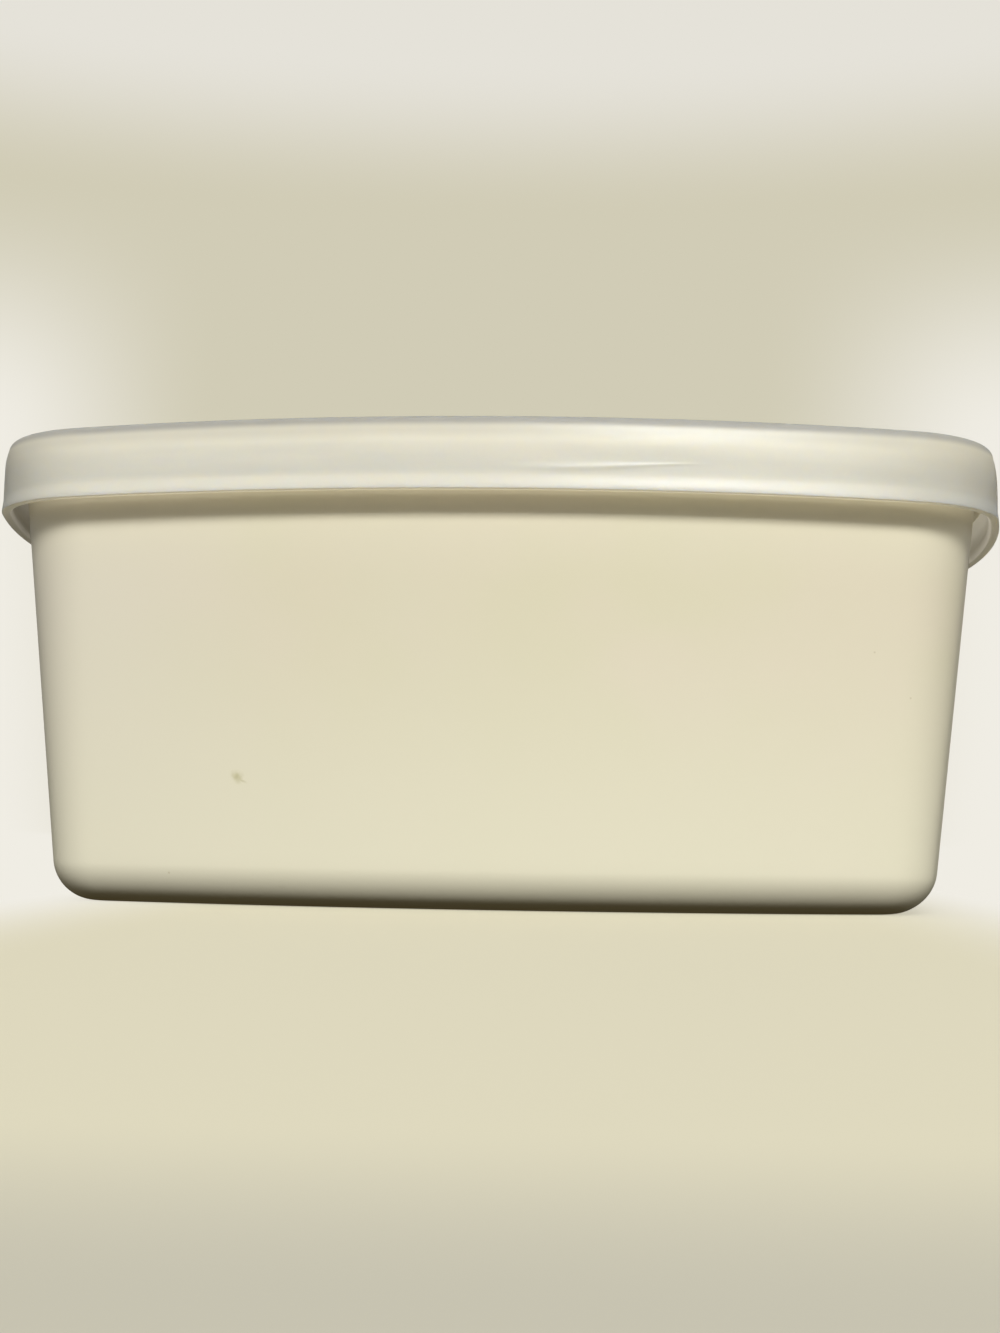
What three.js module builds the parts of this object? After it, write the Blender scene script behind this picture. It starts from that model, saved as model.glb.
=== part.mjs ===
// A shut food tub: a tapered cream box with a push-on lid whose skirt overhangs the walls.
// Millimetres, +Z up, +X along the long side, origin on the table under the middle of the base.

import * as THREE from 'three';

// Outline of the lid's lower edge: four bowed sides joined by round corners
const lidHalfLength = 86;
const lidHalfDepth = 74;
const longSideRadius = 234;
const shortSideRadius = 200;
const cornerRadius = 22;
const longSideSteps = 10;
const shortSideSteps = 8;
const cornerSteps = 8;

// Heights above the table
const lidTop = 73.2;
const lidEdge = 62;
const flangeBottom = 67.8;

// Tub
const tubTopInset = 4.3; // wall to lid outline, level with the lid's edge
const tubBaseInset = 10.8; // the same at the table, before the base edge is rounded
const baseEdgeRadius = 7;
const footWidth = 3;
const footHeight = 0.6;
const baseRecessSlope = 0.8;
const rimFillet = 0.8;

// Lid
const lidThickness = 1;
const skirtInset = 0.15; // skirt to the lip's outermost line
const skirtDraft = 0.1;
const lipHeight = 1.75;
const lipThickness = 1.7;
const lipRounding = 0.3;
const lipUndersideRounding = 0.7; // on the lip's inner lower edge
const shoulderStart = 6.6; // height above the lid's edge where the skirt begins to lean in
const shoulderRadius = 11; // along this arc
const shoulderTurn = Math.PI / 13; // to this lean, which it keeps up to the tight top edge
const topEdgeRadius = 1.2;
const rimInnerInset = 6; // where the raised rim begins to fall to the sunken panel
const panelFallRadius = 0.9;

const gap = 0.3; // between the lid and the tub wherever they face each other

// Finishes
const tubColour = 0xe2dbc0;
const tubRoughness = 0.5;
const lidColour = 0xdcdbcc;
const lidRoughness = 0.38;

// Points along an arc, as [x, y] pairs; both ends are included
function arc(centreX, centreY, radius, from, to, steps) {
  const points = [];
  for (let i = 0; i <= steps; i++) {
    const angle = from + (to - from) * i / steps;
    points.push([centreX + radius * Math.cos(angle), centreY + radius * Math.sin(angle)]);
  }
  return points;
}

// Centre of the front right corner's arc, and the angles at which it meets the two side arcs
function findCorner() {
  const long = new THREE.Vector2(0, longSideRadius - lidHalfDepth);
  const short = new THREE.Vector2(lidHalfLength - shortSideRadius, 0);
  const longReach = longSideRadius - cornerRadius;
  const shortReach = shortSideRadius - cornerRadius;
  const between = short.clone().sub(long);
  const span = between.length();
  const along = (longReach ** 2 - shortReach ** 2 + span ** 2) / (2 * span);
  const across = Math.sqrt(longReach ** 2 - along ** 2);
  const unit = between.divideScalar(span);
  const centre = new THREE.Vector2(
    long.x + unit.x * along - unit.y * across,
    long.y + unit.y * along + unit.x * across
  );
  return {
    centre,
    long,
    short,
    longAngle: Math.atan2(centre.y - long.y, centre.x - long.x),
    shortAngle: Math.atan2(centre.y - short.y, centre.x - short.x)
  };
}

const corner = findCorner();

// One closed section: the outline moved inwards by inset, anticlockwise from above
function section(inset) {
  const { centre, long, short, longAngle, shortAngle } = corner;
  const front = -Math.PI / 2;
  const quarter = [
    ...arc(long.x, long.y, longSideRadius - inset, front, longAngle, longSideSteps / 2),
    ...arc(centre.x, centre.y, cornerRadius - inset, longAngle, shortAngle, cornerSteps).slice(1),
    ...arc(short.x, short.y, shortSideRadius - inset, shortAngle, 0, shortSideSteps / 2).slice(1)
  ];
  const half = [...quarter, ...quarter.slice(0, -1).reverse().map(([x, y]) => [x, -y])];
  return [...half, ...half.slice(1, -1).reverse().map(([x, y]) => [-x, y])];
}

// The sections of a profile of [inset, height] pairs, as rings of [x, y, z] points
function ringsOf(profile) {
  return profile.map(([inset, height]) => section(inset).map(([x, y]) => [x, y, height]));
}

// A closed solid through rings that start on the underside, run outwards, up and back in, and are
// closed in the middle at both ends
function loft(rings) {
  const positions = [];
  const indices = [];
  const count = rings[0].length;
  positions.push(0, 0, rings[0][0][2]);
  rings.flat().forEach((point) => positions.push(...point));
  positions.push(0, 0, rings[rings.length - 1][0][2]);
  const last = positions.length / 3 - 1;
  for (let i = 0; i < count; i++) {
    const next = (i + 1) % count;
    indices.push(0, 1 + next, 1 + i);
    for (let ring = 0; ring < rings.length - 1; ring++) {
      const a = 1 + ring * count + i;
      const b = 1 + ring * count + next;
      indices.push(a, b, b + count, a, b + count, a + count);
    }
    indices.push(last, last - count + i, last - count + next);
  }
  const geometry = new THREE.BufferGeometry();
  geometry.setAttribute('position', new THREE.Float32BufferAttribute(positions, 3));
  geometry.setIndex(indices);
  geometry.computeVertexNormals();
  return geometry;
}

// The tub is closed by its lid, so it is one solid out to its walls
function tubRings() {
  const slope = Math.atan2(tubBaseInset - tubTopInset, lidEdge);
  const wallInset = (height) => tubBaseInset - height * Math.tan(slope);
  const edgeCentre = tubBaseInset + baseEdgeRadius * (1 - Math.sin(slope)) / Math.cos(slope);
  const footInner = edgeCentre + footWidth;
  const flangeInset = skirtInset + skirtDraft + lidThickness + gap;
  const rimTop = lidTop - lidThickness - gap;
  const rimInner = rimInnerInset + panelFallRadius - lidThickness - gap;
  const floor = lidTop - 2 * panelFallRadius - lidThickness - gap;
  return ringsOf([
    [footInner + baseRecessSlope, footHeight],
    [footInner, 0],
    ...arc(edgeCentre, baseEdgeRadius, baseEdgeRadius, -Math.PI / 2, slope - Math.PI, 8),
    [wallInset(flangeBottom), flangeBottom],
    [flangeInset + rimFillet, flangeBottom],
    [flangeInset, flangeBottom + rimFillet],
    ...arc(flangeInset + rimFillet, rimTop - rimFillet, rimFillet, Math.PI, Math.PI / 2, 3),
    [rimInner - gap, rimTop],
    [rimInner, rimTop - gap],
    [rimInner, floor]
  ]);
}

// The lid from the middle of its underside, round the skirt and its lip, to the sunken panel
function lidRings() {
  const innerInset = skirtInset + skirtDraft + lidThickness;
  const underRim = lidTop - lidThickness;
  const panel = lidTop - 2 * panelFallRadius;
  const fallInset = rimInnerInset + panelFallRadius;
  const channelInner = fallInset - lidThickness;
  const lipInner = lipThickness;
  const shoulderInset = skirtInset + skirtDraft;
  const shoulderLow = lidEdge + shoulderStart;
  const leanLow = shoulderLow + shoulderRadius * Math.sin(shoulderTurn);
  const leanHigh = lidTop - topEdgeRadius * (1 - Math.sin(shoulderTurn));
  const leanInset = shoulderInset + shoulderRadius * (1 - Math.cos(shoulderTurn))
    + (leanHigh - leanLow) * Math.tan(shoulderTurn);
  const edgeCentre = leanInset + topEdgeRadius * Math.cos(shoulderTurn);
  const profile = [
    [channelInner + gap, panel - lidThickness],
    [channelInner, panel - lidThickness + gap],
    [channelInner, underRim - gap],
    [channelInner - gap, underRim],
    ...arc(innerInset + rimFillet, underRim - rimFillet, rimFillet, Math.PI / 2, Math.PI, 3),
    [skirtInset + lidThickness, lidEdge + lipHeight + lipRounding],
    [lipInner, lidEdge + lipHeight - lipRounding],
    ...arc(lipInner - lipUndersideRounding, lidEdge + lipUndersideRounding, lipUndersideRounding,
      0, -Math.PI / 2, 3),
    ...arc(lipRounding, lidEdge + lipRounding, lipRounding, -Math.PI / 2, -Math.PI, 3),
    [0, lidEdge + lipHeight - lipRounding],
    [skirtInset, lidEdge + lipHeight],
    ...arc(shoulderInset + shoulderRadius, shoulderLow, shoulderRadius,
      Math.PI, Math.PI - shoulderTurn, 3),
    ...arc(edgeCentre, lidTop - topEdgeRadius, topEdgeRadius,
      Math.PI - shoulderTurn, Math.PI / 2, 5),
    ...arc(rimInnerInset, lidTop - panelFallRadius, panelFallRadius, Math.PI / 2, 0, 3),
    ...arc(fallInset + panelFallRadius, lidTop - panelFallRadius, panelFallRadius,
      -Math.PI, -Math.PI / 2, 3).slice(1)
  ];
  return ringsOf(profile);
}

function makePiece(name, rings, colour, roughness) {
  const material = new THREE.MeshStandardMaterial({ color: colour, roughness, metalness: 0 });
  const mesh = new THREE.Mesh(loft(rings), material);
  mesh.name = name;
  return mesh;
}

const container = new THREE.Group();
container.add(makePiece('tub', tubRings(), tubColour, tubRoughness));
container.add(makePiece('lid', lidRings(), lidColour, lidRoughness));

export default container;
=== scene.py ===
import math

import bpy
from mathutils import Matrix, Vector, noise


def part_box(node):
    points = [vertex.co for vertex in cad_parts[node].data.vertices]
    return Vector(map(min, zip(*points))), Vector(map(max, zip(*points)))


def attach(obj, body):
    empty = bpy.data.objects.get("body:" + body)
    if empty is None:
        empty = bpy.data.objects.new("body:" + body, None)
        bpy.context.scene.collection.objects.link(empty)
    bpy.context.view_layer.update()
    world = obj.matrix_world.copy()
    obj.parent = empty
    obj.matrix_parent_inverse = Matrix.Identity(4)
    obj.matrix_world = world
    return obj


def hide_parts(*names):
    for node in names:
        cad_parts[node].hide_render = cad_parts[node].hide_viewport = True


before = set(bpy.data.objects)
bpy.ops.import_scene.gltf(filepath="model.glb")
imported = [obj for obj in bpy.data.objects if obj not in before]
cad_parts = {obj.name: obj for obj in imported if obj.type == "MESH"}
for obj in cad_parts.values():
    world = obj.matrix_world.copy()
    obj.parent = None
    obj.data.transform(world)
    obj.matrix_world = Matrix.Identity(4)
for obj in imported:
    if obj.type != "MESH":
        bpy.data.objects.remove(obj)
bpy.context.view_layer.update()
scene = bpy.context.scene
mm = 0.001  # lengths below are in millimetres times mm, so they reach Blender in metres

# In the dictionaries, a band runs from the place where something sets in to the place where it is full

# Camera: close to the table, a little to the right of the middle, looking slightly up
shot = {
    "place": (17.5 * mm, -333.5 * mm, 12.8 * mm),
    "pitchUp": 5.07,  # degrees
    "turnLeft": 3.21,
    "roll": 0.9,
    "focalPixels": 1800,
    "longSidePixels": 1333,
}


def makeCamera():
    data = bpy.data.cameras.new("camera")
    data.sensor_width = 36
    data.lens = shot["focalPixels"] / shot["longSidePixels"] * data.sensor_width
    data.clip_start = 0.01
    data.clip_end = 30
    camera = bpy.data.objects.new("camera", data)
    turn = Matrix.Rotation(math.radians(shot["turnLeft"]), 4, "Z")
    tilt = Matrix.Rotation(math.radians(90 + shot["pitchUp"]), 4, "X")
    roll = Matrix.Rotation(math.radians(shot["roll"]), 4, "Z")
    camera.matrix_world = Matrix.Translation(shot["place"]) @ turn @ tilt @ roll
    scene.collection.objects.link(camera)
    scene.camera = camera
    print("camera placed")


# Outline that the lid and the tub share: four bowed sides and round corners
lidLow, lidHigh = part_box("lid")
tubLow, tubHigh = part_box("tub")
outline = {
    "halfLength": lidHigh.x,
    "halfDepth": lidHigh.y,
    "longSideRadius": 234 * mm,
    "shortSideRadius": 200 * mm,
    "cornerRadius": 22 * mm,
    "longSideSteps": 120,
    "shortSideSteps": 72,
    "cornerSteps": 26,
}


def arc(x, y, radius, start, end, steps):
    # points from start to end, in radians
    return [
        (x + radius * math.cos(a), y + radius * math.sin(a))
        for a in (start + (end - start) * i / steps for i in range(steps + 1))
    ]


def findCorner():
    # centre of the front right corner's arc, and the angles at which it meets the two side arcs
    long = Vector((0, outline["longSideRadius"] - outline["halfDepth"]))
    short = Vector((outline["halfLength"] - outline["shortSideRadius"], 0))
    longReach = outline["longSideRadius"] - outline["cornerRadius"]
    shortReach = outline["shortSideRadius"] - outline["cornerRadius"]
    between = short - long
    span = between.length
    along = (longReach**2 - shortReach**2 + span**2) / (2 * span)
    across = math.sqrt(longReach**2 - along**2)
    unit = between / span
    centre = long + unit * along + Vector((-unit.y, unit.x)) * across
    longAngle = math.atan2(centre.y - long.y, centre.x - long.x)
    shortAngle = math.atan2(centre.y - short.y, centre.x - short.x)
    return centre, long, short, longAngle, shortAngle


corner = findCorner()


def section(inset):
    # the outline moved inwards by inset, anticlockwise from the middle of the front
    centre, long, short, longAngle, shortAngle = corner
    cornerRadius = outline["cornerRadius"]
    half = outline["longSideSteps"] // 2
    side = outline["shortSideSteps"] // 2
    quarter = arc(*long, outline["longSideRadius"] - inset, -math.pi / 2, longAngle, half)
    quarter += arc(*centre, cornerRadius - inset, longAngle, shortAngle, outline["cornerSteps"])[1:]
    quarter += arc(*short, outline["shortSideRadius"] - inset, shortAngle, 0, side)[1:]
    right = quarter + [(x, -y) for x, y in reversed(quarter[:-1])]
    return right + [(-x, y) for x, y in reversed(right[1:-1])]


def smooth(x, low, high):
    t = min(1.0, max(0.0, (x - low) / (high - low)))
    return t * t * (3 - 2 * t)


def ringsOf(profile):
    return [[(x, y, height) for x, y in section(inset)] for inset, height in profile]


def discRings(inset, height, radius, steps, inner):
    # rings from the outline at inset to a circle, then the circles of inner, as (radius, height) pairs
    edge = section(inset)
    angles = [math.atan2(y, x) for x, y in edge]
    rings = []
    for i in range(1, steps + 1):
        share = i / steps
        rings.append(
            [
                (x + (radius * math.cos(a) - x) * share, y + (radius * math.sin(a) - y) * share, height)
                for (x, y), a in zip(edge, angles)
            ]
        )
    for r, z in inner:
        rings.append([(r * math.cos(a), r * math.sin(a), z) for a in angles])
    return rings


def skin(name, rings, materials, slotOf=None):
    # closed mesh through the rings, which run from the middle of the underside to the middle of the top
    count = len(rings[0])
    points = [(0, 0, rings[0][0][2])]
    for ring in rings:
        points += ring
    points.append((0, 0, rings[-1][0][2]))
    last = len(points) - 1
    faces = []
    slots = []
    for i in range(count):
        faces.append((0, 1 + (i + 1) % count, 1 + i))
        slots.append(0)
    for ring in range(len(rings) - 1):
        slot = slotOf(ring) if slotOf else 0
        for i in range(count):
            a = 1 + ring * count + i
            b = 1 + ring * count + (i + 1) % count
            faces.append((a, b, b + count, a + count))
            slots.append(slot)
    for i in range(count):
        faces.append((last, last - count + i, last - count + (i + 1) % count))
        slots.append(0)
    mesh = bpy.data.meshes.new(name)
    mesh.from_pydata(points, [], faces)
    for material in materials:
        mesh.materials.append(material)
    mesh.polygons.foreach_set("material_index", slots)
    mesh.polygons.foreach_set("use_smooth", [True] * len(faces))
    mesh.update()
    piece = bpy.data.objects.new(name, mesh)
    scene.collection.objects.link(piece)
    return piece


# Shader sums: a Wire is a socket that takes part in Python expressions
class Wire:
    def __init__(self, graph, socket):
        self.graph = graph
        self.socket = socket

    def __add__(self, other):
        return self.graph.maths("ADD", self, other)

    __radd__ = __add__

    def __mul__(self, other):
        return self.graph.maths("MULTIPLY", self, other)

    __rmul__ = __mul__

    def __sub__(self, other):
        return self.graph.maths("SUBTRACT", self, other)

    def __rsub__(self, other):
        return self.graph.maths("SUBTRACT", other, self)

    def __pow__(self, other):
        return self.graph.maths("POWER", self, other)

    def __abs__(self):
        return self.graph.maths("ABSOLUTE", self, 0)

    def step(self, low, high):
        # 0 at low, 1 at high, eased at both ends; low may be the larger
        settings = {"interpolation_type": "SMOOTHSTEP"}
        values = {"Value": self, "From Min": low, "From Max": high}
        return self.graph.node("ShaderNodeMapRange", settings, values)


class Graph:
    def __init__(self, tree):
        self.tree = tree
        self.tree.nodes.clear()

    def node(self, kind, settings=None, sockets=None, output=0):
        made = self.tree.nodes.new(kind)
        for key, value in (settings or {}).items():
            setattr(made, key, value)
        for key, value in (sockets or {}).items():
            if isinstance(value, Wire):
                self.tree.links.new(value.socket, made.inputs[key])
            else:
                made.inputs[key].default_value = value
        return Wire(self, made.outputs[output]) if len(made.outputs) else None

    def maths(self, operation, a, b):
        return self.node("ShaderNodeMath", {"operation": operation}, {0: a, 1: b})

    def mix(self, factor, a, b):
        values = {"Factor": factor, "A": a, "B": b}
        return self.node("ShaderNodeMix", {"data_type": "RGBA"}, values, "Result")

    def noise(self, place, scale, detail=2.0, stretch=(1, 1, 1)):
        # stretch multiplies the scale along x, y and z
        scaled = self.node("ShaderNodeVectorMath", {"operation": "MULTIPLY"}, {0: place, 1: stretch})
        values = {"Vector": scaled, "Scale": scale, "Detail": detail}
        return self.node("ShaderNodeTexNoise", None, values, "Fac")


def rgb(red, green, blue):
    # screen values from 0 to 255 as a linear colour
    def linear(value):
        v = value / 255
        return v / 12.92 if v <= 0.04045 else ((v + 0.055) / 1.055) ** 2.4

    return (linear(red), linear(green), linear(blue), 1.0)


def newMaterial(name):
    material = bpy.data.materials.new(name)
    material.use_nodes = True
    return material, Graph(material.node_tree)


# Tub
tub = {
    "edgeHeight": lidLow.z,  # height of the lid's lower edge
    "topInset": 4.3 * mm,
    "baseInset": 10.8 * mm,
    "baseEdgeRadius": 7 * mm,
    "footWidth": 3 * mm,
    "footHeight": 0.6 * mm,
    "footSlope": 0.8 * mm,
    "footLines": (0.5 * mm, 0.6 * mm),  # mesh lines this far inside the foot's edges keep it flat
    "flangeBottom": 67.8 * mm,
    "flangeInset": 1.55 * mm,
    "rimInner": 5.6 * mm,
    "rimFillet": 0.8 * mm,
    "rimBevel": 0.3 * mm,
    "floorHeight": 70.1 * mm,
    "gateRadius": 4.4 * mm,  # dimple in the middle of the base, where the plastic was moulded in
    "gateDepth": 0.3 * mm,
    "innerCircle": 12 * mm,  # the mesh of the base's middle starts from this radius
    "cream": rgb(231, 225, 199),
    "creamWarm": rgb(233, 224, 200),
    "creamGreen": rgb(229, 224, 194),
    "greenShare": 0.8,
    "creamPale": rgb(236, 230, 211),
    "paleBand": (-20 * mm, -70 * mm),  # x, towards the left end; painted light: the wall is paler and less yellow there
    "paleShare": 0.9,
    "creamTopPaintedLight": rgb(237, 232, 208),
    "topBand": (48 * mm, 60 * mm),  # height; painted light: paler along the top of the wall
    "topShare": 0.5,
    # painted light: the wall is made paler towards its bottom
    "creamLowPaintedLight": rgb(243, 239, 214),
    "lowBand": (55 * mm, 3 * mm),
    "lowShare": 0.8,
    "roughness": 0.42,
    "frontBand": (-10 * mm, -20 * mm),  # y; the stain and the specks stay in front of it
    "stain": (-37.5 * mm, 19.7 * mm, 1.3 * mm),  # x, z and radius, on the front wall
    "stainTail": 1.9 * mm,  # reach of its faint streak to the right
    "stainColour": rgb(208, 202, 163),
    "speckColour": rgb(196, 182, 142),
    "specks": (
        (-48.4 * mm, 4.9 * mm, 0.3 * mm),
        (58.9 * mm, 39.9 * mm, 0.25 * mm),
        (64.7 * mm, 33.2 * mm, 0.25 * mm),
    ),
}


def wallInset(height):
    share = (tub["edgeHeight"] - height) / tub["edgeHeight"]
    return tub["topInset"] + (tub["baseInset"] - tub["topInset"]) * share


def makeTub():
    slope = math.atan2(tub["baseInset"] - tub["topInset"], tub["edgeHeight"])
    radius = tub["baseEdgeRadius"]
    edgeInset = tub["baseInset"] + radius * (1 - math.sin(slope)) / math.cos(slope)
    foot = edgeInset + tub["footWidth"]
    top = tubHigh.z
    edge = arc(edgeInset, radius, radius, -math.pi / 2, slope - math.pi, steps=24)
    wallBottom = edge[-1][1]
    wallSteps = 30
    rise = (tub["flangeBottom"] - wallBottom) / wallSteps
    wallHeights = [wallBottom + rise * i for i in range(1, wallSteps + 1)]
    gate = tub["gateRadius"]
    recess = tub["footHeight"]
    dimple = recess + tub["gateDepth"]
    middle = [
        (gate * 1.05, recess),
        (gate, recess),
        (gate * 0.85, dimple),
        (gate * 0.8, dimple),
        (gate * 0.2, dimple),
    ]
    footSlope = tub["footSlope"]
    innerLine, outerLine = tub["footLines"]
    underside = discRings(foot + footSlope, recess, tub["innerCircle"], steps=6, inner=middle)
    base = [
        *[(foot + footSlope * k, recess * smooth(k, 0, 1)) for k in (1, 0.75, 0.5, 0.25, 0)],
        (foot - innerLine, 0),
        (edgeInset + outerLine, 0),
    ]
    fillet = tub["rimFillet"]
    bevel = tub["rimBevel"]
    rim = [
        (tub["flangeInset"] + fillet, tub["flangeBottom"]),
        (tub["flangeInset"], tub["flangeBottom"] + fillet),
        *arc(tub["flangeInset"] + fillet, top - fillet, fillet, math.pi, math.pi / 2, steps=6),
        (tub["rimInner"] - bevel, top),
        (tub["rimInner"], top - bevel),
        (tub["rimInner"], tub["floorHeight"]),
    ]
    wall = [(wallInset(z), z) for z in wallHeights]
    rings = list(reversed(underside)) + ringsOf(base + edge + wall + rim)
    piece = skin("tubWalls", rings, [creamPlastic()])
    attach(piece, "root")
    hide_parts("tub")
    print("tub made:", len(piece.data.polygons), "faces")


def creamPlastic():
    material, g = newMaterial("creamPlastic")
    place = g.node("ShaderNodeTexCoord", None, None, "Object")
    x, y, z = (g.node("ShaderNodeSeparateXYZ", None, {0: place}, axis) for axis in "XYZ")
    clouds = g.noise(place, scale=22, detail=3).step(0.35, 0.65)
    drift = g.noise(place, scale=37).step(0.35, 0.7)
    grain = g.noise(place, scale=1100)
    pale = x.step(*tub["paleBand"]) * tub["paleShare"]
    high = z.step(*tub["topBand"]) * tub["topShare"]
    low = z.step(*tub["lowBand"]) * tub["lowShare"]
    colour = g.mix(clouds, tub["cream"], tub["creamWarm"])
    colour = g.mix(drift * tub["greenShare"], colour, tub["creamGreen"])
    # painted light: paler towards the left end, along the top of the wall and towards its bottom
    colour = g.mix(pale, colour, tub["creamPale"])
    colour = g.mix(high, colour, tub["creamTopPaintedLight"])
    colour = g.mix(low, colour, tub["creamLowPaintedLight"])
    front = y.step(*tub["frontBand"])
    ragged = g.noise(place, scale=900) - 0.5

    def spot(sx, sz, radius, tail=0.0):
        # a small ragged mark on the front wall, 1 in its middle; tail is its streak's reach to the right
        across = x - sx
        up = z - sz
        reach = (across * across + up * up) ** 0.5
        away = reach + ragged * (radius * 0.9)
        mark = away.step(radius, 0)
        if tail:
            drop = 0.36  # how much the streak falls per length to the right
            beside = abs(up + across * drop + radius * 0.25)
            run = across.step(tail, tail * 0.4) * across.step(-radius * 0.2, radius * 0.2)
            mark = g.maths("MAXIMUM", mark, beside.step(radius * 0.22, 0.0) * run * 0.7)
        return mark * front

    colour = g.mix(spot(*tub["stain"], tub["stainTail"]), colour, tub["stainColour"])
    for speck in tub["specks"]:
        colour = g.mix(spot(*speck) * 0.5, colour, tub["speckColour"])
    roughness = tub["roughness"] + (clouds - 0.5) * 0.05 + (grain - 0.5) * 0.06
    ripple = g.noise(place, scale=300) * 0.3 + grain * 0.25
    normal = g.node("ShaderNodeBump", None, {"Strength": 0.06, "Distance": 0.0004, "Height": ripple})
    shader = g.node(
        "ShaderNodeBsdfPrincipled",
        None,
        {"Base Color": colour, "Roughness": roughness, "Normal": normal, "Specular IOR Level": 0.4},
    )
    g.node("ShaderNodeOutputMaterial", None, {"Surface": shader})
    return material


# Lid
lid = {
    "thickness": 1 * mm,
    "skirtInset": 0.18 * mm,
    "skirtDraft": 0.1 * mm,
    "lipThickness": 1.7 * mm,
    "lipHeight": 1.75 * mm,
    "lipRounding": 0.15 * mm,
    "lipUnderside": 0.7 * mm,  # rounding of the lip's inner lower edge
    "lipUndercut": 0.05 * mm,
    "flareTop": 2.4 * mm,  # height above the lower edge where the lip's flare has died out
    "shoulderLow": 6.6 * mm,  # height above the lower edge where the skirt begins to lean in
    "shoulderRadius": 11 * mm,  # along this arc
    "shoulderTurn": math.pi / 13,  # up to this lean, which it keeps to the tight top edge
    "topRadius": 1.2 * mm,
    "rimInner": 6 * mm,
    "fallRadius": 0.9 * mm,
    "bevel": 0.3 * mm,  # on the edges under the raised rim
    "gateRadius": 6.2 * mm,  # round dimple in the middle of the panel, with the gate's stub in it
    "gateDepth": 0.25 * mm,
    "stubRadius": 1.1 * mm,
    "stubHeight": 0.2 * mm,
    "waveHeight": 0.035 * mm,
    "waveScale": (28, 28, 420),  # more makes the waves shorter along x, y and z
    "ridgeHeight": 0.12 * mm,
    "ridgeWidth": 0.36 * mm,
    "ridgeLow": 65.3 * mm,  # height of the ridge's left end
    "ridgeClimb": 0.95 * mm,
    "climbBand": (10 * mm, 34 * mm),  # x, also in the next three lines
    "thinBand": (12 * mm, 32 * mm),
    "startBand": (2 * mm, 15 * mm),
    "endBand": (34 * mm, 18 * mm),
    "lip": rgb(241, 239, 227),
    "lipBand": (3.2 * mm, 1.9 * mm),  # height above the lower edge
    "skirt": rgb(231, 233, 226),
    "skirtCloud": rgb(225, 228, 223),
    # painted shade: the shoulder, which leans toward the lamps, is given a darker tone
    "shoulder": rgb(203, 206, 203),
    "shoulderShadeBand": (4 * mm, 2.2 * mm),  # depth below the top
    "ends": rgb(196, 198, 193),  # painted shade round the corners and along the short sides, which turn away from the lamps
    "endsMiddle": -3 * mm,  # x
    "endsBand": (52 * mm, 82 * mm),  # distance from that to both sides
    # painted shade: a darker, bluish strip along the top edge
    "topEdgePaintedShade": rgb(145, 150, 155),
    "topBand": (1.9 * mm, 0.8 * mm),  # depth below the top
    "dullBand": (0.9 * mm, 0.4 * mm),  # height above the lower edge, where the lip is rougher
    "through": rgb(240, 236, 222),
    "glow": rgb(250, 248, 245),  # tint of the light that the thin skirt lets straight through
    "inside": rgb(228, 222, 213),
    "insideCloud": rgb(234, 228, 220),
    # painted shade: the inside of the lip is darkened
    "insideLipPaintedShade": rgb(212, 207, 200),
    "insideLipBand": (2.6 * mm, 1.2 * mm),  # height above the lower edge
    "insideThrough": rgb(251, 248, 240),
    "roughness": 0.33,
    "softShare": 0.28,  # how much of the plastic's tone comes from light behind it
    "underBand": (0.2 * mm, 0.06 * mm),  # height above the lower edge, where that is more
    "underSoft": 0.3,
    "alongBand": (75 * mm, 60 * mm),  # distance from the middle to both sides, where it is more again
    "alongSoft": 0.35,
    "insideSoft": 0.66,
    "rightBand": (60 * mm, 80 * mm),  # x, where the inside is softer still
    "rightSoft": 0.2,
    "passShare": 0.6,  # how much of a lamp's light the outside lets straight through
    "passInside": 0.5,
    "passBand": (2.3 * mm, 1.7 * mm),  # height above the lower edge, where the thicker lip begins
    "lipPass": 0.2,  # and lets this much less through
}


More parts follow.
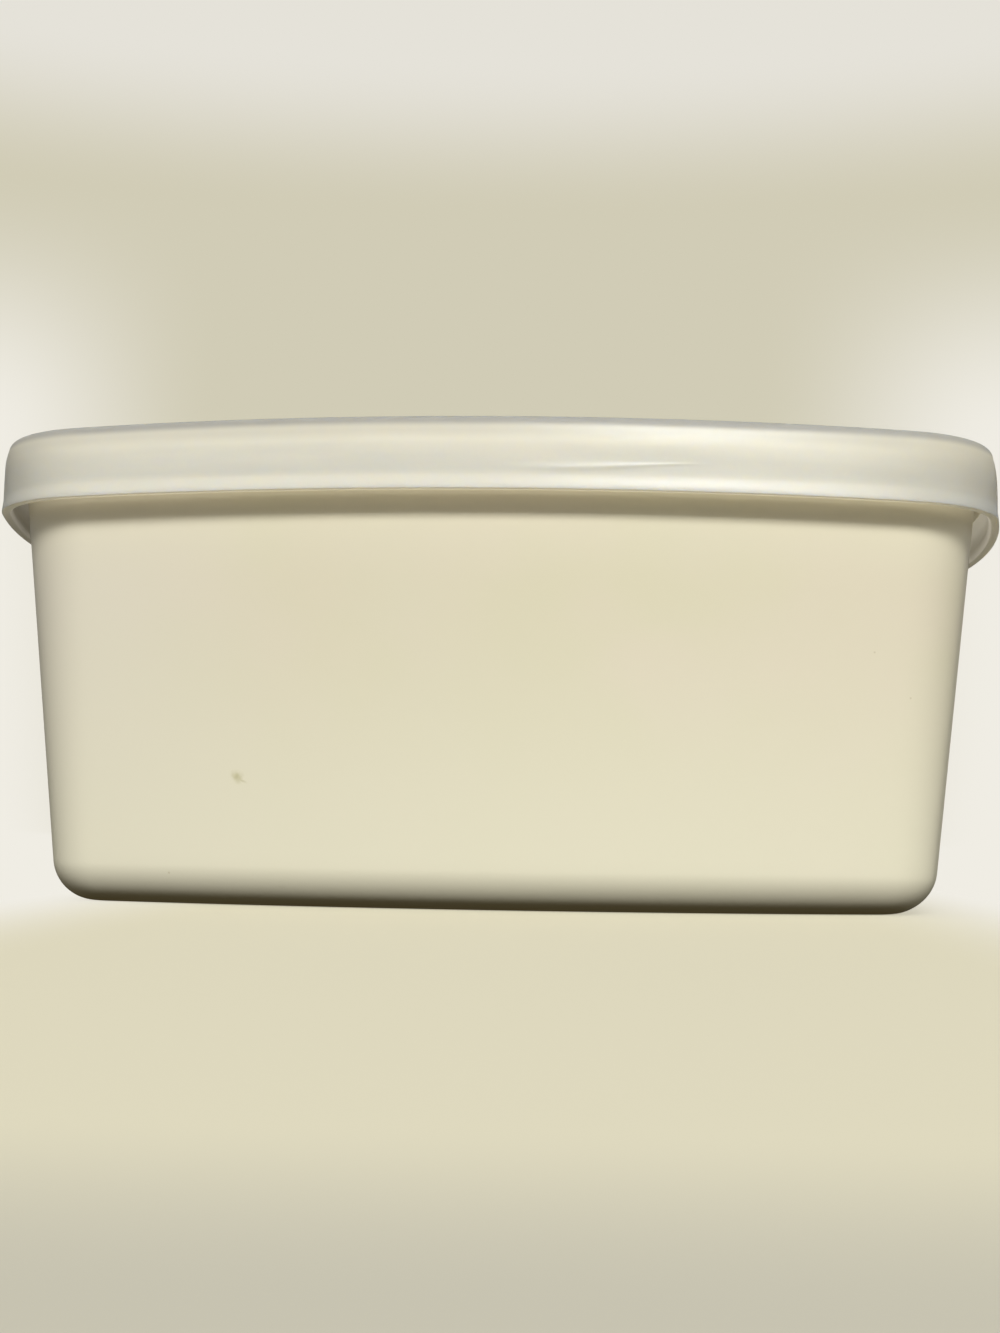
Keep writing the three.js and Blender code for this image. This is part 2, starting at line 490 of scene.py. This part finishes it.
def makeLid():
    low = lidLow.z
    top = lidHigh.z
    t = lid["thickness"]
    fall = lid["fallRadius"]
    inner = lid["skirtInset"] + lid["skirtDraft"] + t
    panel = top - 2 * fall
    fallInset = lid["rimInner"] + fall
    channel = fallInset - t
    underRim = top - t
    bevel = lid["bevel"]
    underMiddle = channel + 0.8 * mm  # here the mesh of the flat underside turns into a disc
    fillet = tub["rimFillet"]
    lipIn = lid["lipThickness"]
    rounding = lid["lipRounding"]
    underRound = lid["lipUnderside"]
    underside = [
        (underMiddle, panel - t),
        (channel + bevel, panel - t),
        (channel, panel - t + bevel),
        (channel, underRim - bevel),
        (channel - bevel, underRim),
        *arc(inner + fillet, underRim - fillet, fillet, math.pi / 2, math.pi, steps=5),
        *[(inner, underRim - fillet - 1.2 * mm * i) for i in range(1, 5)],
        (lid["skirtInset"] + t, low + lid["lipHeight"] + rounding),
        (lipIn - lid["lipUndercut"], low + lid["lipHeight"]),
        (lipIn, low + lid["lipHeight"] - rounding),
        *arc(lipIn - underRound, low + underRound, underRound, 0, -math.pi / 2, steps=8),
    ]
    lip = arc(rounding, low + rounding, rounding, -math.pi / 2, -math.pi, steps=6)
    shoulder = lid["shoulderRadius"]
    turn = lid["shoulderTurn"]
    topRadius = lid["topRadius"]
    shoulderLow = low + lid["shoulderLow"]
    faceLow = lip[-1][1]
    faceSteps = 56
    face = []
    for i in range(1, faceSteps):
        z = faceLow + (shoulderLow - faceLow) * i / faceSteps
        flare = smooth(z - low, lid["lipRounding"], lid["flareTop"])
        draft = (z - low) / (top - low)
        face.append((lid["skirtInset"] * flare + lid["skirtDraft"] * draft, z))
    shoulderInset = lid["skirtInset"] + lid["skirtDraft"] * (shoulderLow - low) / (top - low)
    edge = arc(shoulderInset + shoulder, shoulderLow, shoulder, math.pi, math.pi - turn, steps=12)
    leanInset, leanLow = edge[-1]
    leanRise = top - topRadius * (1 - math.sin(turn)) - leanLow
    topInset = leanInset + leanRise * math.tan(turn) + topRadius * math.cos(turn)
    leanSteps = 8
    for i in range(1, leanSteps):
        rise = leanRise * i / leanSteps
        edge.append((leanInset + rise * math.tan(turn), leanLow + rise))
    edge += arc(topInset, top - topRadius, topRadius, math.pi - turn, math.pi / 2, steps=14)
    panelInset = fallInset + 2 * fall
    rim = [
        ((topInset + lid["rimInner"]) / 2, top),
        *arc(lid["rimInner"], top - fall, fall, math.pi / 2, 0, steps=8),
        *arc(fallInset + fall, top - fall, fall, -math.pi, -math.pi / 2, steps=8)[1:],
        (panelInset, panel),
    ]
    profile = underside + lip + face + edge + rim
    sunk = panel - lid["gateDepth"]
    gate = lid["gateRadius"]
    stub = lid["stubRadius"]
    # extra circles on both sides of each step keep it crisp
    middle = [(gate + d * mm, panel) for d in (0.4, 0.15, 0)]
    middle += [(gate - d * mm, sunk) for d in (0.2, 0.35, 0.6)]
    middle += [(stub + d * mm, sunk) for d in (0.4, 0.15, 0)]
    middle += [(stub - d * mm, sunk + lid["stubHeight"]) for d in (0.2, 0.35, 0.6)]
    under = discRings(underMiddle, panel - t, 10 * mm, steps=6, inner=[])
    over = discRings(panelInset, panel, 12 * mm, steps=8, inner=middle)
    rings = list(reversed(under)) + ringsOf(profile) + over
    first = len(under) + len(underside) + len(lip)
    last = first + len(face) + len(edge)
    for k in range(first, last):
        rings[k] = [waved(point, i, rings[k]) for i, point in enumerate(rings[k])]
    innerRings = len(under) + len(underside) - 3  # past them, the lip's lower edge looks like the outside
    materials = [frostedPlastic(), frostedInside()]
    piece = skin("lidCap", rings, materials, lambda ring: 1 if ring < innerRings else 0)
    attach(piece, "root")
    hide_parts("lid")
    print("lid made:", len(piece.data.polygons), "faces")


def waved(point, i, ring):
    # moulding waves: long and shallow along the skirt, with one drawn-out ridge on the front's right half
    x, y, z = point
    before = Vector(ring[i - 1])
    after = Vector(ring[(i + 1) % len(ring)])
    along = after - before
    outward = Vector((along.y, -along.x, 0)).normalized()
    wave = noise.noise(Vector(point) * Vector(lid["waveScale"])) * lid["waveHeight"]
    if y < 0:
        line = lid["ridgeLow"] + smooth(x, *lid["climbBand"]) * lid["ridgeClimb"]
        width = lid["ridgeWidth"] * (1.4 - smooth(x, *lid["thinBand"]))
        share = smooth(x, *lid["startBand"]) * smooth(x, *lid["endBand"])
        wave += lid["ridgeHeight"] * share * math.exp(-(((z - line) / width) ** 2))
    moved = Vector(point) + outward * wave
    return moved.x, moved.y, moved.z


def frostedPlastic():
    material, g = newMaterial("frostedPlastic")
    place = g.node("ShaderNodeTexCoord", None, None, "Object")
    x, height = (g.node("ShaderNodeSeparateXYZ", None, {0: place}, axis) for axis in "XZ")
    above = height - lidLow.z
    below = lidHigh.z - height
    streaks = g.noise(place, scale=30, detail=3, stretch=(1, 1, 9))
    grain = g.noise(place, scale=1500)
    wander = streaks - 0.5  # lets the bands' edges run unevenly
    lipShare = (above + wander * (0.3 * mm)).step(*lid["lipBand"])
    shoulderShadeShare = (below - wander * (0.5 * mm)).step(*lid["shoulderShadeBand"])
    topShare = (below - wander * (0.4 * mm)).step(*lid["topBand"])
    colour = g.mix(streaks.step(0.35, 0.65), lid["skirt"], lid["skirtCloud"])
    # painted shade: darker on the shoulder, round the ends and along the top edge
    colour = g.mix(shoulderShadeShare, colour, lid["shoulder"])
    colour = g.mix(lipShare, colour, lid["lip"])
    colour = g.mix(abs(x - lid["endsMiddle"]).step(*lid["endsBand"]), colour, lid["ends"])
    colour = g.mix(topShare, colour, lid["topEdgePaintedShade"])
    dull = above.step(*lid["dullBand"]) * 0.2 + topShare * 0.25
    roughness = lid["roughness"] + wander * 0.12 + (grain - 0.5) * 0.05 + dull
    bumps = g.noise(place, scale=500) * 0.4 + streaks * 0.6
    normal = g.node("ShaderNodeBump", None, {"Strength": 0.09, "Distance": 0.0004, "Height": bumps})
    solid = g.node(
        "ShaderNodeBsdfPrincipled",
        None,
        {
            "Base Color": colour,
            "Roughness": roughness,
            "Normal": normal,
            "Specular IOR Level": 0.9,
            "Subsurface Weight": 0.9,
            "Subsurface Radius": (1.0, 0.9, 0.7),
            "Subsurface Scale": 2.2 * mm,
        },
    )
    soft = g.node("ShaderNodeBsdfTranslucent", None, {"Color": lid["through"], "Normal": normal})
    # the lip's underside lets more light through, most of all along the front and the back
    along = abs(x).step(*lid["alongBand"])
    under = above.step(*lid["underBand"]) * (lid["underSoft"] + along * lid["alongSoft"])
    softShare = lid["softShare"] - lipShare * 0.1 + under
    shader = g.node("ShaderNodeMixShader", None, {0: softShare, 1: solid, 2: soft})
    letLightPass(g, shader, lid["passShare"] - lipShare * lid["lipPass"])
    return material


def letLightPass(g, shader, share):
    # the plastic is thin, so part of the lamp's light goes straight through it, and its shadow is pale
    shadow = g.node("ShaderNodeLightPath", None, None, "Is Shadow Ray")
    straight = g.node("ShaderNodeBsdfTransparent", None, {"Color": lid["glow"]})
    mixed = g.node("ShaderNodeMixShader", None, {0: shadow * share, 1: shader, 2: straight})
    g.node("ShaderNodeOutputMaterial", None, {"Surface": mixed})


def frostedInside():
    material, g = newMaterial("frostedInside")
    place = g.node("ShaderNodeTexCoord", None, None, "Object")
    x, height = (g.node("ShaderNodeSeparateXYZ", None, {0: place}, axis) for axis in "XZ")
    above = height - lidLow.z
    grain = g.noise(place, scale=120)
    colour = g.mix(grain, lid["inside"], lid["insideCloud"])
    # painted shade on the inside of the lip
    colour = g.mix(above.step(*lid["insideLipBand"]), colour, lid["insideLipPaintedShade"])
    matte = {"Base Color": colour, "Roughness": 1, "Specular IOR Level": 0}
    solid = g.node("ShaderNodeBsdfPrincipled", None, matte)
    soft = g.node("ShaderNodeBsdfTranslucent", None, {"Color": lid["insideThrough"]})
    softShare = lid["insideSoft"] + x.step(*lid["rightBand"]) * lid["rightSoft"]
    shader = g.node("ShaderNodeMixShader", None, {0: softShare, 1: solid, 2: soft})
    lipShare = above.step(*lid["passBand"])
    letLightPass(g, shader, lid["passInside"] - lipShare * lid["lipPass"])
    return material


# Floor that rises all round into a pale wall
stage = {
    "floorRadius": 1.6,
    "bend": 1.0,
    "bendSteps": 16,
    "wallHeight": 3.0,
    "steps": 96,
    "floor": rgb(228, 222, 196),
    "near": rgb(203, 199, 181),
    "nearBand": (-255 * mm, -285 * mm),  # y
    "side": rgb(240, 237, 228),
    "sideMiddle": 8 * mm,  # x
    "sideBand": (45 * mm, 85 * mm),  # distance from that to both sides
    "middle": rgb(209, 204, 182),  # of the wall
    "middleTurn": -0.07,  # x / y of it
    "middleBand": (0.17, 0.33),  # distance from that to both sides, where the wall takes the side's tone
    "middleHeights": (1.05, 0.6),  # and where it does so, going down
    "top": rgb(229, 226, 217),
    "topHeights": (1.03, 1.3),
    "litShare": 0.34,  # how much of the floor's tone round the tub comes from the lamps
    "evenShare": 0.6,  # and how much of it is even; far out and to both sides, all of it is
    "evenBand": (0.35, 1.2),  # radius
}


def makeStage():
    radius = stage["floorRadius"]
    bend = stage["bend"]
    profile = [(radius * share, 0) for share in (0.0125, 0.0625, 0.1875, 0.5)]
    profile += arc(radius, bend, bend, -math.pi / 2, 0, stage["bendSteps"])
    profile.append((radius + bend, stage["wallHeight"]))
    steps = stage["steps"]
    points = [(0, 0, 0)]
    faces = []
    for r, z in profile:
        for i in range(steps):
            a = 2 * math.pi * i / steps
            points.append((r * math.cos(a), r * math.sin(a), z))
    for i in range(steps):
        faces.append((0, 1 + i, 1 + (i + 1) % steps))
    for ring in range(len(profile) - 1):
        for i in range(steps):
            a = 1 + ring * steps + i
            b = 1 + ring * steps + (i + 1) % steps
            faces.append((a, a + steps, b + steps, b))
    mesh = bpy.data.meshes.new("floorAndWall")
    mesh.from_pydata(points, [], faces)
    mesh.polygons.foreach_set("use_smooth", [True] * len(faces))
    mesh.materials.append(palePaper())
    piece = bpy.data.objects.new("floorAndWall", mesh)
    scene.collection.objects.link(piece)
    # only the camera sees it, so the light on the tub is set by the lamps and the surroundings alone
    piece.visible_diffuse = False
    piece.visible_glossy = False
    piece.visible_transmission = False
    piece.visible_shadow = False
    print("floor and wall made")


def palePaper():
    material, g = newMaterial("palePaper")
    place = g.node("ShaderNodeTexCoord", None, None, "Object")
    x, y, z = (g.node("ShaderNodeSeparateXYZ", None, {0: place}, axis) for axis in "XYZ")
    radius = (x * x + y * y) ** 0.5
    away = radius.step(*stage["evenBand"])
    aside = abs(x - stage["sideMiddle"]).step(*stage["sideBand"])
    far = g.maths("MAXIMUM", away, aside)
    turn = x * y**-1  # grows from the middle of the wall to both sides
    pale = abs(turn - stage["middleTurn"]).step(*stage["middleBand"])
    wall = g.mix(pale * z.step(*stage["middleHeights"]), stage["middle"], stage["side"])
    wall = g.mix(z.step(*stage["topHeights"]), wall, stage["top"])
    tone = g.mix(y.step(*stage["nearBand"]), stage["floor"], stage["near"])
    tone = g.mix(aside, tone, stage["side"])
    tone = g.mix(away, tone, wall)
    black = (0, 0, 0, 1)
    lit = g.mix((1 - far) * stage["litShare"], black, tone)
    even = g.mix(far + (1 - far) * stage["evenShare"], black, tone)
    shader = g.node(
        "ShaderNodeBsdfPrincipled",
        None,
        {
            "Base Color": lit,
            "Roughness": 0.9,
            "Specular IOR Level": 0,
            "Emission Color": even,
            "Emission Strength": 1,
        },
    )
    g.node("ShaderNodeOutputMaterial", None, {"Surface": shader})
    return material


# Light: a soft strip in front and above, a weak lamp on each side and behind, a patch to the right
# that only shines in gloss, and dim surroundings that are darker below
lampTint = (1.0, 0.99, 0.965)
light = {
    "front": {
        "azimuth": 5.5,  # degrees to the right of the front
        "elevation": 35,
        "distance": 2.5,
        "width": 1.6,
        "height": 0.45,
        "watts": 67,
        "colour": lampTint,
    },
    "left": {
        "azimuth": -75,
        "elevation": 20,
        "distance": 2.5,
        "width": 1.2,
        "height": 0.8,
        "watts": 4.3,
        "colour": lampTint,
    },
    "right": {
        "azimuth": 85,
        "elevation": 20,
        "distance": 2.5,
        "width": 1.2,
        "height": 0.8,
        "watts": 10,
        "colour": lampTint,
    },
    "back": {
        "azimuth": 180,
        "elevation": 12,
        "distance": 2.5,
        "width": 1.6,
        "height": 0.8,
        "watts": 18,
        "colour": lampTint,
    },
    "shine": {
        "azimuth": 20,
        "elevation": 38,
        "distance": 1.6,
        "width": 0.5,
        "height": 0.9,
        "watts": 13.5,
        "colour": (0.92, 0.96, 1.0),
    },
    "above": (0.21, 0.21, 0.21, 1),
    "below": (0.05, 0.04, 0.02, 1),
    "horizonBand": (-0.03, 0.05),
    "strength": 1,
    "aim": Vector((0, 0, 0.04)),
}


def makeLamp(name):
    values = light[name]
    data = bpy.data.lights.new(name, "AREA")
    data.shape = "RECTANGLE"
    data.size = values["width"]
    data.size_y = values["height"]
    data.energy = values["watts"]
    data.color = values["colour"]
    lamp = bpy.data.objects.new(name, data)
    a = math.radians(values["azimuth"])
    e = math.radians(values["elevation"])
    away = Vector((math.sin(a) * math.cos(e), -math.cos(a) * math.cos(e), math.sin(e)))
    lamp.location = light["aim"] + away * values["distance"]
    lamp.rotation_euler = away.to_track_quat("Z", "Y").to_euler()
    scene.collection.objects.link(lamp)
    return lamp


def makeLight():
    for name in ("front", "left", "right", "back"):
        makeLamp(name).visible_glossy = False
    shine = makeLamp("shine")
    shine.visible_diffuse = False
    shine.visible_transmission = False
    world = bpy.data.worlds.new("room")
    scene.world = world
    world.use_nodes = True
    g = Graph(world.node_tree)
    direction = g.node("ShaderNodeTexCoord", None, None, "Generated")
    up = g.node("ShaderNodeSeparateXYZ", None, {0: direction}, "Z")
    colour = g.mix(up.step(*light["horizonBand"]), light["below"], light["above"])
    surroundings = g.node("ShaderNodeBackground", None, {"Color": colour, "Strength": light["strength"]})
    g.node("ShaderNodeOutputWorld", None, {"Surface": surroundings})
    scene.view_settings.view_transform = "Standard"
    print("light set")


makeCamera()
makeTub()
makeLid()
makeStage()
makeLight()
